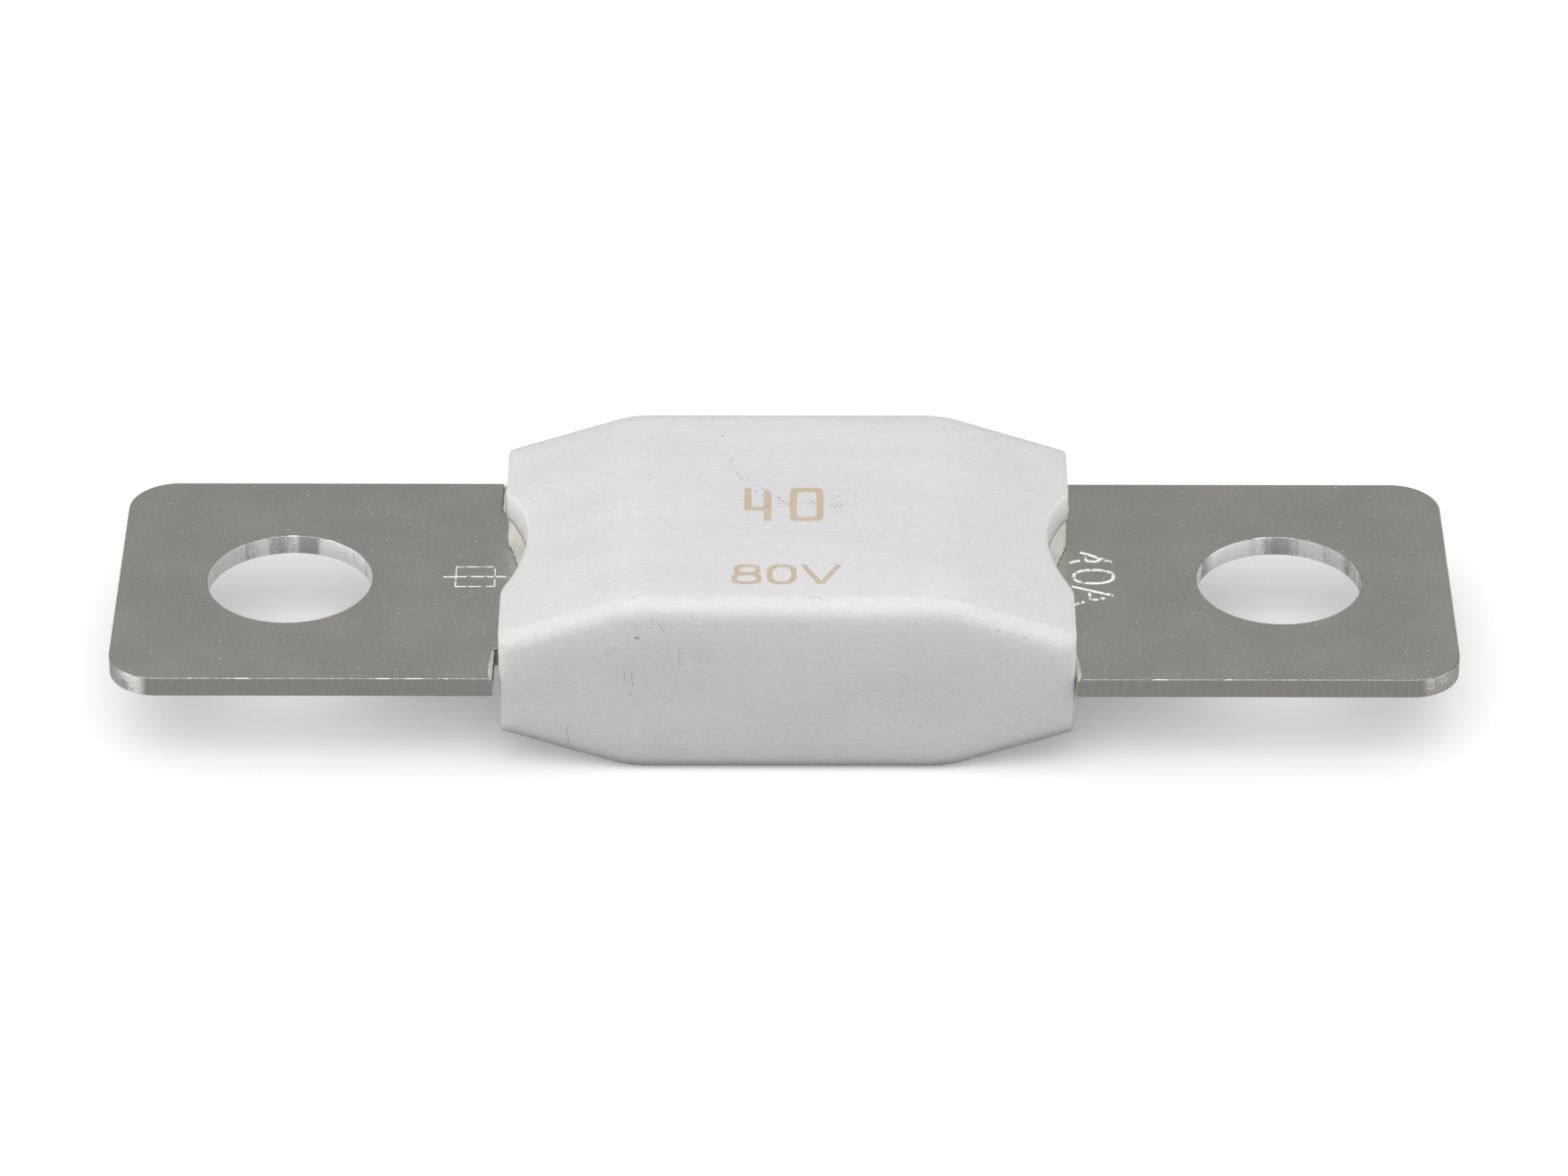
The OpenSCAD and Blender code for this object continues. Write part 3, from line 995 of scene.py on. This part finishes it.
# Stamped figures on the blades: polylines in photograph pixels
STAMP_R, SIGN_R, RIDGE_FLATNESS = 0.09 * MM, 0.05 * MM, 0.45
STAMP_40A = (
    ((1102.2, 563.8), (1110.5, 565.8), (1118.5, 568.6), (1127.0, 571.6), (1134.6, 573.8)),
    ((1106.4, 567.8), (1107.2, 571.0), (1110.0, 572.8), (1116.5, 573.2), (1121.0, 572.3),
     (1122.4, 569.4)),
    ((1090.9, 574.4), (1096.0, 573.0), (1102.2, 572.2)),
    ((1093.9, 598.4), (1107.8, 601.6), (1122.5, 604.8), (1136.6, 607.7)),
    ((1111.5, 605.3), (1112.9, 611.2), (1118.0, 612.0), (1126.8, 610.3)),
    ((1095.9, 617.2), (1100.5, 615.6), (1106.2, 614.2)),
)
STAMP_ZERO = (1095.5, 581.6, 1136.0, 595.2)

# Fuse sign on the left blade: a box with a line through it, corner pixels of the box
SIGN_BOX = ((466.0, 578.5), (505.5, 578.5), (504.5, 598.5), (464.5, 598.5))
SIGN_LINE = ((452.5, 588.6), (465.2, 588.5), (485.0, 588.4), (505.0, 588.5), (516.5, 588.5))


def add_stroke(pixels, radius, closed=False):
    """A low round ridge on the blade's top along the pixels."""
    curve = bpy.data.curves.new("stroke", "CURVE")
    curve.dimensions = "3D"
    curve.bevel_depth = radius
    curve.bevel_resolution = 2
    curve.use_fill_caps = not closed
    spline = curve.splines.new("POLY")
    spline.points.add(len(pixels) - 1)
    spline.use_cyclic_u = closed
    for point, (px, py) in zip(spline.points, pixels):
        place = photo_point(px, py, 2, BLADE_TOP)
        point.co = (place.x, place.y, 0, 1)
    stroke = bpy.data.objects.new("stroke", curve)
    bpy.context.scene.collection.objects.link(stroke)
    pick(stroke)
    bpy.ops.object.convert(target="MESH")
    stroke = bpy.context.object
    stroke.scale.z = RIDGE_FLATNESS
    stroke.location.z = BLADE_TOP
    settle(stroke)
    face_outwards(stroke)
    return stroke


def make_stamps(material):
    strokes = [add_stroke(pixels, STAMP_R) for pixels in STAMP_40A]
    strokes.append(add_stroke(oval(*STAMP_ZERO, 2.4, 36), STAMP_R, closed=True))
    figures = join(strokes, "stamped_rating")
    smooth(figures, 60)
    give(figures, material)
    box, line = add_stroke(SIGN_BOX, SIGN_R, closed=True), add_stroke(SIGN_LINE, SIGN_R)
    sign = join([box, line], "stamped_fuse_sign")
    smooth(sign, 60)
    give(sign, material)


# Dirt on the sleeve, in photograph pixels: (px, py, length, width, turn in degrees)
DIRT_LIFT, DIRT_RAGGEDNESS = 0.004 * MM, 0.45
TOP_DIRT = (
    (727.0, 428.0, 3.0, 1.2, 10), (737.2, 444.5, 2.6, 1.8, 0), (741.0, 462.8, 2.0, 1.0, -50),
    (747.0, 468.0, 5.5, 0.9, -8), (745.4, 471.0, 2.6, 1.4, -50), (748.6, 476.5, 2.6, 1.2, -60),
    (752.6, 482.6, 3.8, 1.1, -50), (755.6, 486.4, 3.4, 1.1, -50), (757.2, 488.4, 1.8, 1.2, 20),
    (763.4, 488.8, 2.6, 0.9, 0), (761.8, 497.0, 2.4, 1.2, -60), (771.8, 501.6, 2.2, 2.0, 0),
    (773.4, 496.0, 1.8, 1.2, 0), (778.6, 499.0, 1.8, 1.6, 0), (781.8, 500.0, 1.8, 1.4, 0),
    (779.6, 505.6, 2.2, 1.6, 0), (784.0, 503.4, 1.6, 1.0, 0), (786.8, 510.4, 1.6, 1.4, 0),
    (795.0, 508.2, 2.6, 2.0, 0), (798.4, 511.0, 2.4, 1.6, -30), (802.6, 513.2, 3.2, 1.0, -10),
    (805.2, 514.2, 2.2, 1.4, 0), (813.4, 511.6, 2.0, 1.4, 0), (815.2, 513.6, 1.6, 1.0, 0),
    (824.2, 512.2, 2.0, 1.0, 0), (828.6, 511.4, 3.0, 1.1, -35), (831.4, 513.6, 3.6, 1.0, -10),
    (829.8, 517.8, 2.0, 0.9, 20), (839.6, 514.8, 1.8, 1.6, 0), (848.8, 505.6, 1.6, 1.2, 0),
    (855.6, 505.8, 4.2, 0.9, 0), (872.6, 506.2, 2.4, 1.6, 0), (849.0, 515.8, 2.0, 1.4, 0),
    (852.4, 517.6, 2.2, 1.4, -60), (853.6, 514.6, 2.6, 1.0, 0), (858.4, 515.6, 2.2, 1.8, 0),
    (826.4, 494.8, 1.6, 1.0, 0), (684.2, 537.6, 2.2, 1.6, 0), (680.2, 536.8, 1.6, 1.0, 0),
    (688.6, 539.4, 1.6, 1.0, 0), (686.0, 541.0, 1.4, 0.8, 0), (661.5, 489.5, 1.6, 1.2, 20),
    (826.4, 609.2, 1.8, 1.6, 0), (835.8, 609.8, 2.4, 1.4, -20), (645.8, 610.2, 2.6, 1.4, 30),
    (879.0, 603.8, 1.6, 1.0, 0), (963.6, 437.4, 3.0, 1.4, -20), (988.0, 553.6, 2.0, 2.0, 0),
)
FRONT_DIRT = (
    (650.6, 651.2, 5.2, 2.0, -20), (648.4, 650.4, 2.2, 1.4, 0), (620.2, 667.6, 1.2, 5.2, -8),
    (643.0, 708.6, 2.8, 2.2, 0), (637.4, 690.0, 0.8, 17.0, 4), (645.0, 692.2, 0.8, 16.0, 4),
    (693.6, 672.0, 0.7, 19.0, 2), (694.8, 665.6, 2.0, 1.8, 0), (713.4, 667.6, 0.6, 9.0, 2),
    (705.4, 629.2, 2.6, 1.0, -20), (759.4, 645.0, 2.4, 1.4, 0), (569.0, 696.0, 1.6, 1.4, 0),
    (613.6, 700.6, 1.0, 2.4, 10), (578.8, 745.6, 0.9, 17.0, 5), (580.2, 755.4, 1.1, 5.4, 4),
    (816.4, 637.4, 2.4, 1.8, 20), (935.4, 636.6, 2.2, 1.8, 0), (938.8, 740.8, 4.4, 1.2, -15),
    (1022.0, 677.4, 2.2, 1.8, 0), (920.4, 725.4, 4.4, 1.0, 8), (1046.4, 651.4, 4.6, 1.1, -30),
    (1018.8, 643.4, 5.0, 1.0, -24), (664.8, 631.8, 0.8, 7.0, 0), (673.6, 639.6, 17.0, 0.8, -50),
    (700.4, 684.6, 4.0, 0.8, 60), (603.6, 640.4, 1.8, 1.2, 0),
)


def add_spot(px, py, length, width, turn, axis, level):
    """A ragged flat spot of dirt lying on the top flat (axis 2) or on the front face (axis 1)."""
    place = photo_point(px, py, axis, level)
    pixel = CAMERA_DISTANCE * SENSOR / LENS / PHOTO_W
    foreshortening = math.sin(CAMERA_PITCH) if axis == 2 else math.cos(CAMERA_PITCH)
    deselect_all()
    bpy.ops.mesh.primitive_circle_add(vertices=9, radius=0.5, fill_type="NGON")
    spot = bpy.context.object
    for v in spot.data.vertices:
        v.co *= 1 + DIRT_RAGGEDNESS * noise.noise(v.co * 1.9 + Vector((px, py, 0)))
    spot.scale = (length * pixel, width * pixel, 1)
    settle(spot)
    spot.rotation_euler.z = math.radians(turn)
    settle(spot)
    spot.scale.y = 1 / foreshortening
    settle(spot)
    if axis == 1:
        spot.rotation_euler.x = math.pi / 2
        settle(spot)
    spot.location = place
    return settle(spot)


def make_dirt_marks(material):
    spots = [add_spot(*spot, 2, TOP_Z + PRINT_LIFT + DIRT_LIFT) for spot in TOP_DIRT]
    spots += [add_spot(*spot, 1, FRONT_Y - DIRT_LIFT) for spot in FRONT_DIRT]
    marks = join(spots, "sleeve_dirt")
    give(marks, material)


make_camera()
make_stage()
grain = make_grain_group()
specks = make_specks_group()
facing = make_facing_group()
make_sleeve(make_ceramic(grain, specks, facing))
plating = make_plating(grain, specks, facing)
cement = make_cement(grain, specks)
for side in (-1, 1):
    make_blade(side, plating)
    make_cement_seal(side, cement)
make_print(make_ink(grain))
make_stamps(make_stamping(grain))
make_dirt_marks(make_dirt(grain))

# The two hidden solids keep their shape and get a finish of their own
hidden = {
    "fuse_element": make_strip("rolled_copper", grain, COPPER, 0.32),
    "tin_bead": make_strip("flowed_tin", grain, TIN, 0.25, math.pi / 2),
}
for node, material in hidden.items():
    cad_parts[node].data.materials.clear()
    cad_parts[node].data.materials.append(material)
